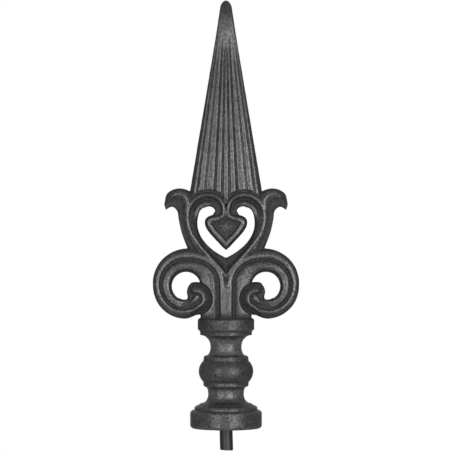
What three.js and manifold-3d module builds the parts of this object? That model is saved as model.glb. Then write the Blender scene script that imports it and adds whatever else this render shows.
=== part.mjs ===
// Fence finial: a reeded spear blade over a pierced heart and two volutes, on a turned baluster.
// Millimetres, +Z up, the front looks towards -Y, z = 0 is the underside of the base.

import * as THREE from "three";
import { mergeVertices } from "three/addons/utils/BufferGeometryUtils.js";
import ManifoldModule from "manifold-3d";

const kernel = await ManifoldModule();
kernel.setup();
const { Manifold, Mesh } = kernel;

// Steel pin
const PIN_RADIUS = 4;
const PIN_EXPOSED = 13.5;
const PIN_SET_IN = 12;
const PIN_CHAMFER = 0.5;
const PIN_LEAN_DEG = 1.6;
const FIT_GAP = 0.3;

// Turned baluster: radii and heights of its mouldings
const BASE = { radius: 21.9, top: 11.1, round: 1.4 };
const STEP = { radius: 19.3, top: 13.9, round: 1.6 };
const LOWER_NECK = { radius: 10.85, height: 20.6 };
const LOWER_FILLET = { radius: 13.8, bottom: 25.2, round: 1.3 };
const BALL = { arc: 8.9, offset: 7.75, height: 34.6 };
const UPPER_FILLET = { radius: 13.65, top: 44.2, round: 1.3 };
const UPPER_NECK = { radius: 9.45, height: 49.5 };
const COLLAR = { lip: 15.8, lipBottom: 57.2, lipTop: 58.8, radius: 17.25, bottom: 60.4, top: 67, round: 1.6 };
const TURNING_SEGMENTS = 24;
const ROUND_STEPS = 2;
const COVE_STEPS = 4;
const BALL_STEPS = 6;

// Stem between the volutes
const STEM = { halfWidth: 3.7, round: 0.7, depth: 7.2, bottom: 65 };
const STEM_TOP = { halfWidth: 1.8, narrowFrom: 80, z: 88.6 };
const STEM_WEB = { top: 96, depth: 4 };

// Volute bands. Each rail: radius, widening beside the stem, half depth
const VOLUTE = { x: 24.3, z: 87.2, edgeWidening: 4, start: 180, end: -120, step: 12.5 };
const VOLUTE_WIDENING = { from: 90, to: 170 };
const VOLUTE_TAIL = { from: -60, to: -123, shrink: 3 };
const VOLUTE_EDGE_RAILS = [
  [20.3, 1.0],
  [19.7, 3.2],
];
const VOLUTE_FACE_RAILS = [
  [18.9, 4.3, 6.4],
  [18.2, 4.3, 7.2],
  [17.4, 4.3, 6.4],
  [15.1, 4.9, 4.8],
  [12.9, 5.2, 6.0],
  [11.8, 5.2, 6.0],
  [10.3, 1.0, 4.9],
  [9.2, 0.0, 1.0],
];

// Curled eyes inside the volutes
const EYE = { x: 18.3, z: 79, start: -54, step: 20 };
const EYE_EDGE = { radius: 9.9, lead: 4, leadTurn: 36, wall: 0.6 };
const EYE_CLOSE = { from: 222, to: 306, radius: 4 };
const EYE_EDGE_DEPTH = { parting: 1, wall: 3.2 };
const EYE_CREST = { radius: 5, lead: 6.4, leadTurn: 64, half: 0.6, shoulder: 0.6, inset: 1.7 };
const EYE_CREST_DEPTH = { start: 3.4, riseBy: 40, along: 7.4, fadeFrom: 225, fadeTo: 300, end: 5.2 };
const EYE_DISH = { share: 0.58, depth: 5, domeShare: 0.25, domeDepth: 5.9, poleDepth: 6.2 };

// Heart: a lobe that curls inward about its own centre, and a side that runs down to the point
const HEART = { x: 10.4, z: 130.9, radius: 12.2, hole: 6.1, pointZ: 92.1, holePointZ: 103.4 };
const HEART_CURL = { from: 120, to: 204, shrink: 7.3, over: 120, power: 1.4 };
const HEART_HOLE = { lobe: 4.2, narrowBy: 60, curl: 2.6, curlFrom: 150 };
const HEART_SIDE_BEND = { lower: [7.3, 104.9], upper: [23.8, 115.6] };
const HEART_HOLE_BEND = { lower: [9, 107.5], upper: [21, 117] };
const HEART_CREST = { half: 0.7, shoulder: 0.7, depth: 7.5, curlDepth: 6.3, lowerFrom: 145 };
const HEART_FACE = { grooveShare: 0.45, grooveDepth: 4.9, lipShare: 0.82, lipDepth: 5.4, edgeDepth: 1 };
const HEART_WEB = { side: 4.6, lobe: 3, depth: 2.6 };
const HEART_SIDE_STEPS = 9;
const HEART_LOBE_STEP = 14;

// Spade inside the heart: the line along the middle of its rim
const SPADE = { tipZ: 112.3, cornerX: 10.2, cornerZ: 125.9, cleftZ: 132, apexZ: 123.2 };
const SPADE_SIDE_BEND = { lower: [4.6, 117.6], upper: [9.9, 122.6] };
const SPADE_TOP_BEND = { outer: [10.5, 127.6], inner: [2.6, 125.2] };
const SPADE_RIM = { bevel: 2.6, edgeDepth: 1, wall: 1.9, wallDepth: 3.4, half: 0.8, depth: 6.2, mitre: 1.3 };
const SPADE_PANEL = { drop: 1.9, depth: 4.5, apexDepth: 5.6 };
const SPADE_STEPS = 5;

// Leaves at the shoulders: rails run from the leaf's foot to its tip as x, z
const LEAF_UNDER = [
  [23.6, 107.5], [27.2, 119], [29.1, 127.5], [29.8, 131.4],
  [31.3, 133.9], [33.4, 134.9], [35.6, 134.4], [37, 133.5],
];
const LEAF_CREST = [
  [20.8, 107], [22.6, 120], [22.8, 129], [22.5, 136.5],
  [24.3, 140.4], [28.8, 142.4], [33, 139.9], [36.6, 135.2],
];
const LEAF_TOP = [
  [18, 107], [19.5, 121], [19.5, 131], [19.4, 140.5],
  [22.6, 144.7], [29.6, 145.6], [35.5, 142.4], [37.5, 136],
];
const LEAF = { edgeDepth: 1, wall: 0.16, wallDepth: 3.7, faceShare: 0.55, faceDepth: 4.6, steps: 14 };
const LEAF_FOOT = { share: 0.5, riseBy: 0.16 };
const LEAF_SCOOP = { depth: 3.9, from: 0.4, to: 0.65 };
const LEAF_CREST_DEPTH = { foot: 4.8, bend: 6.6, tip: 3.4, fallFrom: 0.8, bevel: 2.2 };

// Spear blade
const BLADE = { foot: 137, top: 260.8, tipHalfWidth: 2.4, taper: 0.167, nose: 4.5 };
const BLADE_DEPTH = { tip: 2.7, rise: 0.028, edge: 0.8 };
const BLADE_ROWS = [0, 0.5, 0.72, 0.84, 0.93, 0.975, 0.993, 0.9999];
const BLADE_EDGE_SHARES = [0.97, 0.9];
const REED_GROOVES = [0.1, 0.31, 0.585, 0.805];
const REED_GROOVE = { halfWidth: 0.035, depth: 0.9, fadeFrom: 222, fadeTo: 238 };

const IRON = { color: 0x3c3c3e, roughness: 0.6, metalness: 0.8 };
const STEEL = { color: 0x48484a, roughness: 0.45, metalness: 0.9 };

const WELD = 1e-4;
const FULL_TURN = 360;

const radians = THREE.MathUtils.degToRad;
const ease = (value, from, to) => THREE.MathUtils.smoothstep(value, from, to);
const blend = THREE.MathUtils.lerp;

// Solids

function toSolid(geometry) {
  const welded = mergeVertices(new THREE.BufferGeometry()
    .setAttribute("position", geometry.getAttribute("position"))
    .setIndex(geometry.getIndex()), WELD);
  const places = welded.getAttribute("position").array;
  const corners = welded.getIndex().array;
  const triangles = [];
  for (let i = 0; i < corners.length; i += 3) {
    const [a, b, c] = [corners[i], corners[i + 1], corners[i + 2]];
    if (a !== b && b !== c && c !== a) triangles.push(a, b, c);
  }
  if (enclosedVolume(places, triangles) < 0) triangles.reverse();
  const mesh = new Mesh({
    numProp: 3,
    vertProperties: Float32Array.from(places),
    triVerts: Uint32Array.from(triangles),
  });
  return new Manifold(mesh);
}

function enclosedVolume(places, triangles) {
  const at = (i) => new THREE.Vector3().fromArray(places, 3 * i);
  let volume = 0;
  for (let i = 0; i < triangles.length; i += 3) {
    const cross = at(triangles[i + 1]).cross(at(triangles[i + 2]));
    volume += at(triangles[i]).dot(cross) / 6;
  }
  return volume;
}

function toMesh(solid, name, finish) {
  const { vertProperties, triVerts, numProp } = solid.getMesh();
  const geometry = new THREE.BufferGeometry();
  const places = new THREE.InterleavedBuffer(vertProperties, numProp);
  geometry.setAttribute("position", new THREE.InterleavedBufferAttribute(places, 3, 0));
  geometry.setIndex(new THREE.BufferAttribute(triVerts, 1));
  const mesh = new THREE.Mesh(geometry, new THREE.MeshStandardMaterial(finish));
  mesh.name = name;
  return mesh;
}

// A moulding is the same front and back. Each station lists its rails as x, z, half depth.
function moulding(stations) {
  const rails = stations[0].length;
  const ring = 2 * rails;
  const places = [];
  for (const station of stations) {
    for (const [x, z, depth] of station) places.push(x, -depth, z);
    for (const [x, z, depth] of station.toReversed()) places.push(x, depth, z);
  }
  const index = [];
  const quad = (a, b, c, d) => index.push(a, b, c, a, c, d);
  for (let s = 0; s + 1 < stations.length; s += 1) {
    for (let k = 0; k < ring; k += 1) {
      const next = (k + 1) % ring;
      quad(s * ring + k, s * ring + next, (s + 1) * ring + next, (s + 1) * ring + k);
    }
  }
  const last = (stations.length - 1) * ring;
  for (let k = 0; k + 1 < rails; k += 1) {
    const [front, back] = [k, ring - 1 - k];
    quad(front, back, back - 1, front + 1);
    quad(last + front, last + front + 1, last + back - 1, last + back);
  }
  return toSolid(indexedGeometry(places, index));
}

// A boss has rails that close around a centre, from the outer edge inward to one point.
function boss(stations, [x, z, depth]) {
  const rails = stations[0].length;
  const ring = 2 * rails;
  const places = [];
  for (const station of stations) {
    for (const [px, pz, half] of station) places.push(px, -half, pz);
    for (const [px, pz, half] of station) places.push(px, half, pz);
  }
  const frontPole = stations.length * ring;
  places.push(x, -depth, z, x, depth, z);
  const index = [];
  const quad = (a, b, c, d) => index.push(a, b, c, a, c, d);
  stations.forEach((_, s) => {
    const here = s * ring;
    const next = ((s + 1) % stations.length) * ring;
    for (let k = 0; k + 1 < rails; k += 1) {
      quad(here + k, next + k, next + k + 1, here + k + 1);
      quad(here + rails + k, here + rails + k + 1, next + rails + k + 1, next + rails + k);
    }
    quad(here, here + rails, next + rails, next);
    index.push(here + rails - 1, next + rails - 1, frontPole);
    index.push(here + ring - 1, frontPole + 1, next + ring - 1);
  });
  return toSolid(indexedGeometry(places, index));
}

function indexedGeometry(places, index) {
  return new THREE.BufferGeometry()
    .setAttribute("position", new THREE.Float32BufferAttribute(places, 3))
    .setIndex(index);
}

function mirror(stations) {
  return stations.map((station) => station.map(([x, z, depth]) => [-x, z, depth]));
}

function bothSides(stations) {
  return [moulding(stations), moulding(mirror(stations))];
}

function around(centre, radius, degrees) {
  const angle = radians(degrees);
  return [centre.x + radius * Math.cos(angle), centre.z + radius * Math.sin(angle)];
}

// Baluster

function balusterProfile() {
  const points = [new THREE.Vector2(0, 0)];
  const to = (r, z) => points.push(new THREE.Vector2(r, z));
  const arc = (r, z, wide, high, from, until, steps) => {
    for (let i = 0; i <= steps; i += 1) {
      const angle = radians(blend(from, until, i / steps));
      to(r + wide * Math.cos(angle), z + high * Math.sin(angle));
    }
  };
  const roundUnder = (r, z, radius) => arc(r - radius, z + radius, radius, radius, -90, 0, ROUND_STEPS);
  const roundOver = (r, z, radius) => arc(r - radius, z - radius, radius, radius, 0, 90, ROUND_STEPS);
  const neck = ({ radius, height }, lower, lowerZ, upper, upperZ) => {
    arc(lower, height, lower - radius, height - lowerZ, 270, 180, COVE_STEPS);
    arc(upper, height, upper - radius, upperZ - height, 180, 90, COVE_STEPS);
  };
  roundUnder(BASE.radius, 0, BASE.round);
  roundOver(BASE.radius, BASE.top, BASE.round);
  to(STEP.radius, BASE.top);
  roundOver(STEP.radius, STEP.top, STEP.round);
  const filletFoot = LOWER_FILLET.radius - LOWER_FILLET.round;
  neck(LOWER_NECK, STEP.radius - STEP.round, STEP.top, filletFoot, LOWER_FILLET.bottom);
  roundUnder(LOWER_FILLET.radius, LOWER_FILLET.bottom, LOWER_FILLET.round);
  const reach = THREE.MathUtils.radToDeg(Math.acos((LOWER_FILLET.radius - BALL.offset) / BALL.arc));
  arc(BALL.offset, BALL.height, BALL.arc, BALL.arc, -reach, reach, BALL_STEPS);
  roundOver(UPPER_FILLET.radius, UPPER_FILLET.top, UPPER_FILLET.round);
  neck(UPPER_NECK, UPPER_FILLET.radius - UPPER_FILLET.round, UPPER_FILLET.top, COLLAR.lip, COLLAR.lipBottom);
  to(COLLAR.lip, COLLAR.lipTop);
  to(COLLAR.radius, COLLAR.bottom);
  roundOver(COLLAR.radius, COLLAR.top, COLLAR.round);
  to(0, COLLAR.top);
  return points;
}

function baluster() {
  const turned = new THREE.LatheGeometry(balusterProfile(), TURNING_SEGMENTS);
  return toSolid(turned.rotateX(Math.PI / 2));
}

// Scrollwork

function stem() {
  const { halfWidth, round, depth, bottom } = STEM;
  const section = (half, z, face) => [
    [-half, z, face - round],
    [-half + round, z, face],
    [half - round, z, face],
    [half, z, face - round],
  ];
  return moulding([
    section(halfWidth, bottom, depth),
    section(halfWidth, STEM_TOP.narrowFrom, depth),
    section(STEM_TOP.halfWidth, STEM_TOP.z, depth),
    section(STEM_TOP.halfWidth, STEM_WEB.top, STEM_WEB.depth),
  ]);
}

function voluteSection(degrees) {
  const widening = ease(degrees, VOLUTE_WIDENING.from, VOLUTE_WIDENING.to);
  const edgeWidening = VOLUTE.edgeWidening * Math.max(0, degrees) / VOLUTE.start;
  const tail = Math.max(0, (degrees - VOLUTE_TAIL.from) / (VOLUTE_TAIL.to - VOLUTE_TAIL.from));
  const shrink = VOLUTE_TAIL.shrink * tail ** 2;
  const edge = VOLUTE_EDGE_RAILS.map(([radius, depth]) => [radius + edgeWidening - shrink, depth]);
  const face = VOLUTE_FACE_RAILS.map(([radius, wider, depth]) => [radius + wider * widening - shrink, depth]);
  return [...edge, ...face];
}

function volutes() {
  const foot = voluteSection(VOLUTE.start).map(([radius, depth]) => [VOLUTE.x - radius, STEM.bottom, depth]);
  const stations = [foot];
  for (let degrees = VOLUTE.start; degrees >= VOLUTE.end; degrees -= VOLUTE.step) {
    const section = voluteSection(degrees);
    stations.push(section.map(([radius, depth]) => [...around(VOLUTE, radius, degrees), depth]));
  }
  return bothSides(stations);
}

function eyeSection(turn) {
  const lead = Math.max(0, 1 - turn / EYE_EDGE.leadTurn);
  const close = THREE.MathUtils.clamp((turn - EYE_CLOSE.from) / (EYE_CLOSE.to - EYE_CLOSE.from), 0, 1);
  const edge = blend(EYE_EDGE.radius + EYE_EDGE.lead * lead, EYE_CLOSE.radius, close);
  const crestLead = EYE_CREST.lead * Math.max(0, 1 - turn / EYE_CREST.leadTurn) ** 2;
  const crest = Math.min(EYE_CREST.radius + crestLead, edge - EYE_CREST.inset);
  const fade = ease(turn, EYE_CREST_DEPTH.fadeFrom, EYE_CREST_DEPTH.fadeTo);
  const rise = blend(EYE_CREST_DEPTH.start, EYE_CREST_DEPTH.along, ease(turn, 0, EYE_CREST_DEPTH.riseBy));
  const depth = blend(rise, EYE_CREST_DEPTH.end, fade);
  return [
    [edge, EYE_EDGE_DEPTH.parting],
    [edge - EYE_EDGE.wall, EYE_EDGE_DEPTH.wall],
    [crest + EYE_CREST.half, depth - EYE_CREST.shoulder],
    [crest, depth],
    [crest - EYE_CREST.half, depth - EYE_CREST.shoulder],
    [crest * EYE_DISH.share, Math.min(depth, EYE_DISH.depth)],
    [crest * EYE_DISH.domeShare, Math.min(depth, EYE_DISH.domeDepth)],
  ];
}

function eyes() {
  const stations = [];
  for (let turn = 0; turn < FULL_TURN; turn += EYE.step) {
    const degrees = EYE.start - turn;
    stations.push(eyeSection(turn).map(([radius, depth]) => [...around(EYE, radius, degrees), depth]));
  }
  const mirrored = mirror(stations);
  return [
    boss(stations, [EYE.x, EYE.z, EYE_DISH.poleDepth]),
    boss(mirrored, [-EYE.x, EYE.z, EYE_DISH.poleDepth]),
  ];
}

// Each station of the heart: its crest, the edge of its hole, the way out, web width, crest depth
function heartPath() {
  const crestSide = new THREE.CubicBezierCurve(
    new THREE.Vector2(0, HEART.pointZ),
    new THREE.Vector2(...HEART_SIDE_BEND.lower),
    new THREE.Vector2(...HEART_SIDE_BEND.upper),
    new THREE.Vector2(HEART.x + HEART.radius, HEART.z),
  );
  const holeSide = new THREE.CubicBezierCurve(
    new THREE.Vector2(0, HEART.holePointZ),
    new THREE.Vector2(...HEART_HOLE_BEND.lower),
    new THREE.Vector2(...HEART_HOLE_BEND.upper),
    new THREE.Vector2(HEART.x + HEART.hole, HEART.z),
  );
  const path = [];
  for (let i = 0; i < HEART_SIDE_STEPS; i += 1) {
    const t = i / HEART_SIDE_STEPS;
    const along = crestSide.getTangent(t);
    path.push({
      crest: crestSide.getPoint(t),
      hole: holeSide.getPoint(t),
      out: new THREE.Vector2(along.y, -along.x),
      web: HEART_WEB.side,
      depth: HEART_CREST.depth,
    });
  }
  for (let degrees = 0; degrees <= HEART_CURL.to; degrees += HEART_LOBE_STEP) {
    const curl = Math.max(0, (degrees - HEART_CURL.from) / HEART_CURL.over);
    const radius = HEART.radius - HEART_CURL.shrink * curl ** HEART_CURL.power;
    const lobeHole = blend(HEART.hole, HEART_HOLE.lobe, Math.min(1, degrees / HEART_HOLE.narrowBy));
    const hole = blend(lobeHole, HEART_HOLE.curl, ease(degrees, HEART_HOLE.curlFrom, HEART_CURL.to));
    const lowering = ease(degrees, HEART_CREST.lowerFrom, HEART_CURL.to);
    path.push({
      crest: new THREE.Vector2(...around(HEART, radius, degrees)),
      hole: new THREE.Vector2(...around(HEART, hole, degrees)),
      out: new THREE.Vector2(Math.cos(radians(degrees)), Math.sin(radians(degrees))),
      web: blend(HEART_WEB.side, HEART_WEB.lobe, ease(degrees, 0, HEART_HOLE.narrowBy)),
      depth: blend(HEART_CREST.depth, HEART_CREST.curlDepth, lowering),
    });
  }
  return path;
}

function hearts() {
  const stations = heartPath().map(({ crest, hole, out, web, depth }) => {
    const outward = (offset) => crest.clone().addScaledVector(out, offset);
    const inward = (share) => crest.clone().lerp(hole, share);
    const rails = [
      [outward(web), HEART_WEB.depth],
      [outward(HEART_CREST.half), depth - HEART_CREST.shoulder],
      [crest, depth],
      [outward(-HEART_CREST.half), depth - HEART_CREST.shoulder],
      [inward(HEART_FACE.grooveShare), HEART_FACE.grooveDepth],
      [inward(HEART_FACE.lipShare), HEART_FACE.lipDepth],
      [hole, HEART_FACE.edgeDepth],
    ];
    return rails.map(([place, half]) => [place.x, place.y, half]);
  });
  return bothSides(stations);
}

function spade() {
  const corner = new THREE.Vector2(SPADE.cornerX, SPADE.cornerZ);
  const side = new THREE.CubicBezierCurve(
    new THREE.Vector2(0, SPADE.tipZ),
    new THREE.Vector2(...SPADE_SIDE_BEND.lower),
    new THREE.Vector2(...SPADE_SIDE_BEND.upper),
    corner,
  );
  const top = new THREE.CubicBezierCurve(
    corner,
    new THREE.Vector2(...SPADE_TOP_BEND.outer),
    new THREE.Vector2(...SPADE_TOP_BEND.inner),
    new THREE.Vector2(0, SPADE.cleftZ),
  );
  const right = [];
  for (const curve of [side, top]) {
    for (let i = 0; i < SPADE_STEPS; i += 1) {
      const along = curve.getTangent(i / SPADE_STEPS);
      right.push({ rim: curve.getPoint(i / SPADE_STEPS), out: new THREE.Vector2(along.y, -along.x) });
    }
  }
  right[0].out.set(0, -SPADE_RIM.mitre);
  const cleft = { rim: top.getPoint(1), out: new THREE.Vector2(0, 1) };
  const left = right.slice(1).reverse().map(({ rim, out }) => ({
    rim: new THREE.Vector2(-rim.x, rim.y),
    out: new THREE.Vector2(-out.x, out.y),
  }));
  const rails = [
    [SPADE_RIM.bevel, SPADE_RIM.edgeDepth],
    [SPADE_RIM.wall, SPADE_RIM.wallDepth],
    [SPADE_RIM.half, SPADE_RIM.depth],
    [-SPADE_RIM.half, SPADE_RIM.depth],
    [-SPADE_PANEL.drop, SPADE_PANEL.depth],
  ];
  const stations = [...right, cleft, ...left].map(({ rim, out }) => (
    rails.map(([offset, depth]) => [rim.x + offset * out.x, rim.y + offset * out.y, depth])
  ));
  return boss(stations, [0, SPADE.apexZ, SPADE_PANEL.apexDepth]);
}

function leaves() {
  const curve = (points) => new THREE.SplineCurve(points.map(([x, z]) => new THREE.Vector2(x, z)));
  const [under, crest, top] = [LEAF_UNDER, LEAF_CREST, LEAF_TOP].map(curve);
  const stations = [];
  for (let i = 0; i <= LEAF.steps; i += 1) {
    const t = i / LEAF.steps;
    const [low, mid, high] = [under, crest, top].map((rail) => rail.getPoint(t));
    const scoop = ease(t, LEAF_SCOOP.from, LEAF_SCOOP.to);
    const rise = blend(LEAF_CREST_DEPTH.foot, LEAF_CREST_DEPTH.bend, scoop);
    const crestDepth = blend(rise, LEAF_CREST_DEPTH.tip, ease(t, LEAF_CREST_DEPTH.fallFrom, 1));
    const faceDepth = blend(LEAF.faceDepth, LEAF_SCOOP.depth, scoop);
    const rails = [
      [low, LEAF.edgeDepth],
      [low.clone().lerp(mid, LEAF.wall), Math.min(LEAF.wallDepth, crestDepth)],
      [low.clone().lerp(mid, LEAF.faceShare), Math.min(faceDepth, crestDepth)],
      [mid, crestDepth],
      [high.clone().lerp(mid, LEAF.wall), LEAF_CREST_DEPTH.bevel],
      [high, LEAF.edgeDepth],
    ];
    const rising = blend(LEAF_FOOT.share, 1, ease(t, 0, LEAF_FOOT.riseBy));
    stations.push(rails.map(([place, depth]) => [place.x, place.y, depth * rising]));
  }
  return bothSides(stations);
}

// Blade

function bladeSection(z) {
  const below = BLADE.top - z;
  const rounding = Math.sqrt(1 - Math.max(0, 1 - below / BLADE.nose) ** 2);
  const halfWidth = (BLADE.tipHalfWidth + BLADE.taper * below) * rounding;
  const depth = (BLADE_DEPTH.tip + BLADE_DEPTH.rise * below) * rounding;
  const edge = BLADE_DEPTH.edge * rounding;
  const cut = REED_GROOVE.depth * (1 - ease(z, REED_GROOVE.fadeFrom, REED_GROOVE.fadeTo));
  const surface = (share) => edge + (depth - edge) * Math.sqrt(1 - share ** 4);
  const half = [[1, edge], ...BLADE_EDGE_SHARES.map((share) => [share, surface(share)])];
  for (const share of REED_GROOVES.toReversed()) {
    const [outer, inner] = [share + REED_GROOVE.halfWidth, share - REED_GROOVE.halfWidth];
    half.push([outer, surface(outer)], [share, surface(share) - cut], [inner, surface(inner)]);
  }
  const right = half.map(([share, d]) => [share * halfWidth, z, d]);
  const left = right.toReversed().map(([x, height, d]) => [-x, height, d]);
  return [...right, ...left];
}

// The lobes of the heart lie in front of the blade's foot, so it stops at their crests.
function blade() {
  const whole = moulding(BLADE_ROWS.map((share) => bladeSection(blend(BLADE.foot, BLADE.top, share))));
  const lobes = [-1, 1].map((side) => {
    const disc = new THREE.CylinderGeometry(HEART.radius, HEART.radius, BASE.radius, TURNING_SEGMENTS);
    return toSolid(disc.translate(side * HEART.x, 0, HEART.z));
  });
  return whole.subtract(Manifold.union(lobes));
}

// Pin and its socket lean together

function pinShape(radius, bottom, top, chamfer) {
  const end = [[0, bottom], [radius - chamfer, bottom], [radius, bottom + chamfer]];
  const profile = [...end, [radius, top], [0, top]].map(([r, z]) => new THREE.Vector2(r, z));
  const turned = new THREE.LatheGeometry(profile, TURNING_SEGMENTS);
  return toSolid(turned.rotateX(Math.PI / 2).rotateY(radians(-PIN_LEAN_DEG)));
}

function casting() {
  const body = Manifold.union([
    baluster(), stem(), ...volutes(), ...eyes(), ...hearts(), spade(), ...leaves(), blade(),
  ]);
  const socket = pinShape(PIN_RADIUS + FIT_GAP, -PIN_EXPOSED, PIN_SET_IN, 0);
  return body.subtract(socket);
}

function pin() {
  return pinShape(PIN_RADIUS, -PIN_EXPOSED, PIN_SET_IN - FIT_GAP, PIN_CHAMFER);
}

const finial = new THREE.Group();
finial.name = "fence_finial";
finial.add(toMesh(casting(), "finial_casting", IRON));
finial.add(toMesh(pin(), "mounting_pin", STEEL));

export default finial;
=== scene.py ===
# Fence finial: a cast-iron spear with a pierced heart and two volutes, and the steel pin below it.
# Shapes are drawn in millimetres in the part's frame and become metres when a mesh is written.

import math
from types import SimpleNamespace as Size

import bmesh
import bpy
import numpy as np
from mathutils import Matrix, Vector, noise


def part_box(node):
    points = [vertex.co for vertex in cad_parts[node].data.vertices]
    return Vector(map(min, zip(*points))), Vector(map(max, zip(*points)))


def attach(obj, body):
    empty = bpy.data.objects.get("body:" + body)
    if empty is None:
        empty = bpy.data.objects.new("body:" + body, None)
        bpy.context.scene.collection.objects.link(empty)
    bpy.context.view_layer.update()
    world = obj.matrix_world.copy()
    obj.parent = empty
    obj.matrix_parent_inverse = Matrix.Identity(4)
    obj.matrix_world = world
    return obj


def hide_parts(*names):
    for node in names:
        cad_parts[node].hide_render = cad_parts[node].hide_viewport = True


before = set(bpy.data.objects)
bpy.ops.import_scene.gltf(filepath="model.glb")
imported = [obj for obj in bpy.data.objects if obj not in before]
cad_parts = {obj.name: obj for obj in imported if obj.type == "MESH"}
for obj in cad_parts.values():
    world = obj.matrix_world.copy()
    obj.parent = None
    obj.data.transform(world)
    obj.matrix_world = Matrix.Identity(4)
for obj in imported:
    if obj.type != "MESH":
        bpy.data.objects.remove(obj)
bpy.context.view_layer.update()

MM = 0.001

# Turned baluster: radii and heights of its mouldings
BASE = Size(radius=21.9, top=10.9, round=1.9)
STEP = Size(radius=19.3, top=13.7, round=1.8, slope_radius=15.4, slope_top=15.1)
LOWER_NECK = Size(radius=10.85, height=20.6)
LOWER_FILLET = Size(radius=13.8, bottom=25.2, round=1.3)
BALL = Size(arc=8.9, offset=7.75, height=34.6)
UPPER_FILLET = Size(radius=13.65, top=44.2, round=1.3)
UPPER_NECK = Size(radius=9.45, height=49.5)
COLLAR = Size(lip=15.8, lip_bottom=56.8, lip_top=58.8, radius=17.25, bottom=60.4, top=67, round=1.6)
TURNING_SEGMENTS = 180
ARC_STEPS = 12

# Steel pin and the socket that it stands in; its weld is in metres
PIN = Size(radius=4.0, exposed=13.55, set_in=11.7, chamfer=0.25, lean=math.radians(1.6), slant=0.045)
PIN_CREASE = math.radians(30)
PIN_WELD = 1e-7
SOCKET = Size(radius=4.45, top=12.0)

# Stem between the volutes
STEM = Size(half_width=3.6, round=0.7, depth=7.3, bottom=65, bend=83, top=96, fall=0.035, steps=20)

# Volute bands about their centres, by degrees: the rim is broad over the top and slim below
VOLUTE = Size(x=24.3, z=87.2, start=180, end=-100, step=1, section_steps=14, foot_steps=45)
VOLUTE_WIDENING = Size(start=90, end=170)
VOLUTE_TAIL = Size(start=-60, end=-123, shrink=3)
VOLUTE_EDGE = Size(radius=20.3, widening=4, lower=0.35, lower_by=-50, tail_start=-80, tail_shrink=4)
VOLUTE_RIM = Size(
    below=16.8, above=18.35, climb_from=-90, climb_to=90, widening=3.9,
    slim=0.7, broad=1.4, outer=0.65, depth=7.2, shoulder=0.3,
)
VOLUTE_GROOVE = Size(gap=1.0, depth=4.9)
VOLUTE_HOLE = Size(tighter=0.3, drop=0.7)
VOLUTE_FADE = Size(start=-35, end=-105, depth=4.8)

# Rails of the volute's section: insets and depths at its outline, then those of its face and its wall
VOLUTE_EDGE_RAILS = [(0, 1.0), (-0.25, 3.4), (-0.6, 4.5)]
VOLUTE_FACE_RAILS = [
    Size(radius=13.5, wider=4.8, depth=6.35, deeper=-0.6),
    Size(radius=11.9, wider=4.7, depth=6.65, deeper=-0.1),
    Size(radius=10.7, wider=0.8, depth=6.35, deeper=-0.6),
]
VOLUTE_WALL_RAILS = [Size(radius=9.6, depth=4.6, tighter=0.6), Size(radius=9.0, depth=1.0, tighter=1.0)]

# End of the volute's inner ridge, which rolls up to a dome inside the eye: rails as offset and depth
ROLL = Size(start=-60, end=-149, step=1, radius=11.9, tuck=2.0, tuck_from=0.3, round_from=0.72)
ROLL_RAILS = [(2.9, 4.5), (1.3, 5.8), (0, 6.4), (-1.2, 6.35), (-2.3, 4.7), (-2.9, 1.0)]
ROLL_END = Size(share=0.35, lower=0.3)
ROLL_SAG = Size(share=0.2, end=0.75)

# Curled eyes inside the volutes
EYE = Size(x=18.3, z=79, start=-54, step=4)
EYE_EDGE = Size(radius=10.1, lead=4, lead_turn=36, wall=0.5)
EYE_CLOSE = Size(start=232, end=290, radius=5.2)
EYE_EDGE_DEPTH = Size(parting=1, wall=3.4)
EYE_CREST = Size(radius=4.9, lead=5.6, lead_turn=64, half=0.8, shoulder=0.5, inset=1.7)
EYE_CREST_DEPTH = Size(start=6.6, rise_by=14, along=7.2, fade_from=222, fade_to=262, end=4.3)
EYE_DISH = Size(share=0.5, depth=4.2)
EYE_CUT = Size(inner=9.2, outer=10.4, depth=3.0)

# Heart: a lobe that curls inward about its own centre, and a side that runs down to the point
HEART = Size(x=11.2, z=129.9, radius=12.2, point_z=92.1)
HEART_LOBE_HOLE = Size(x=10.4, z=130.9, side=6.1, point_z=103.8)
HEART_CURL = Size(start=120, end=188, shrink=6.8, over=120, power=1.3)
HEART_HOLE = Size(lobe=4.2, narrow_by=60, curl=2.6, curl_from=150)
HEART_SIDE_BEND = Size(lower=(8.0, 104.7), upper=(24.7, 114.9))
HEART_HOLE_BEND = Size(lower=(8.6, 107.8), upper=(21, 117))
HEART_CREST = Size(
    half=1.0, shoulder=0.6, point_depth=6.2, rise_by=0.12, depth=7.3, curl_depth=6.7, lower_from=150,
)
HEART_CHANNEL = Size(share=0.36, depth=4.1)
HEART_LIP = Size(
    share=0.73, half=0.17, flank=0.75, shoulder=0.3,
    side_depth=2.6, lobe_depth=5.9, curl_depth=4.4, edge_depth=1,
)
HEART_LIP_RUN = Size(rise_from=0.75, rise_to=1.0, fall_from=1.4, fall_to=1.85)
HEART_WEB = Size(side=5.0, lobe=3, depth=4.6, lobe_depth=2.8)
HEART_GROOVE = Size(offset=1.9, depth=5.4, share=0.5)
HEART_SIDE_STEPS = 60
HEART_LOBE_STEP = 2

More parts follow.
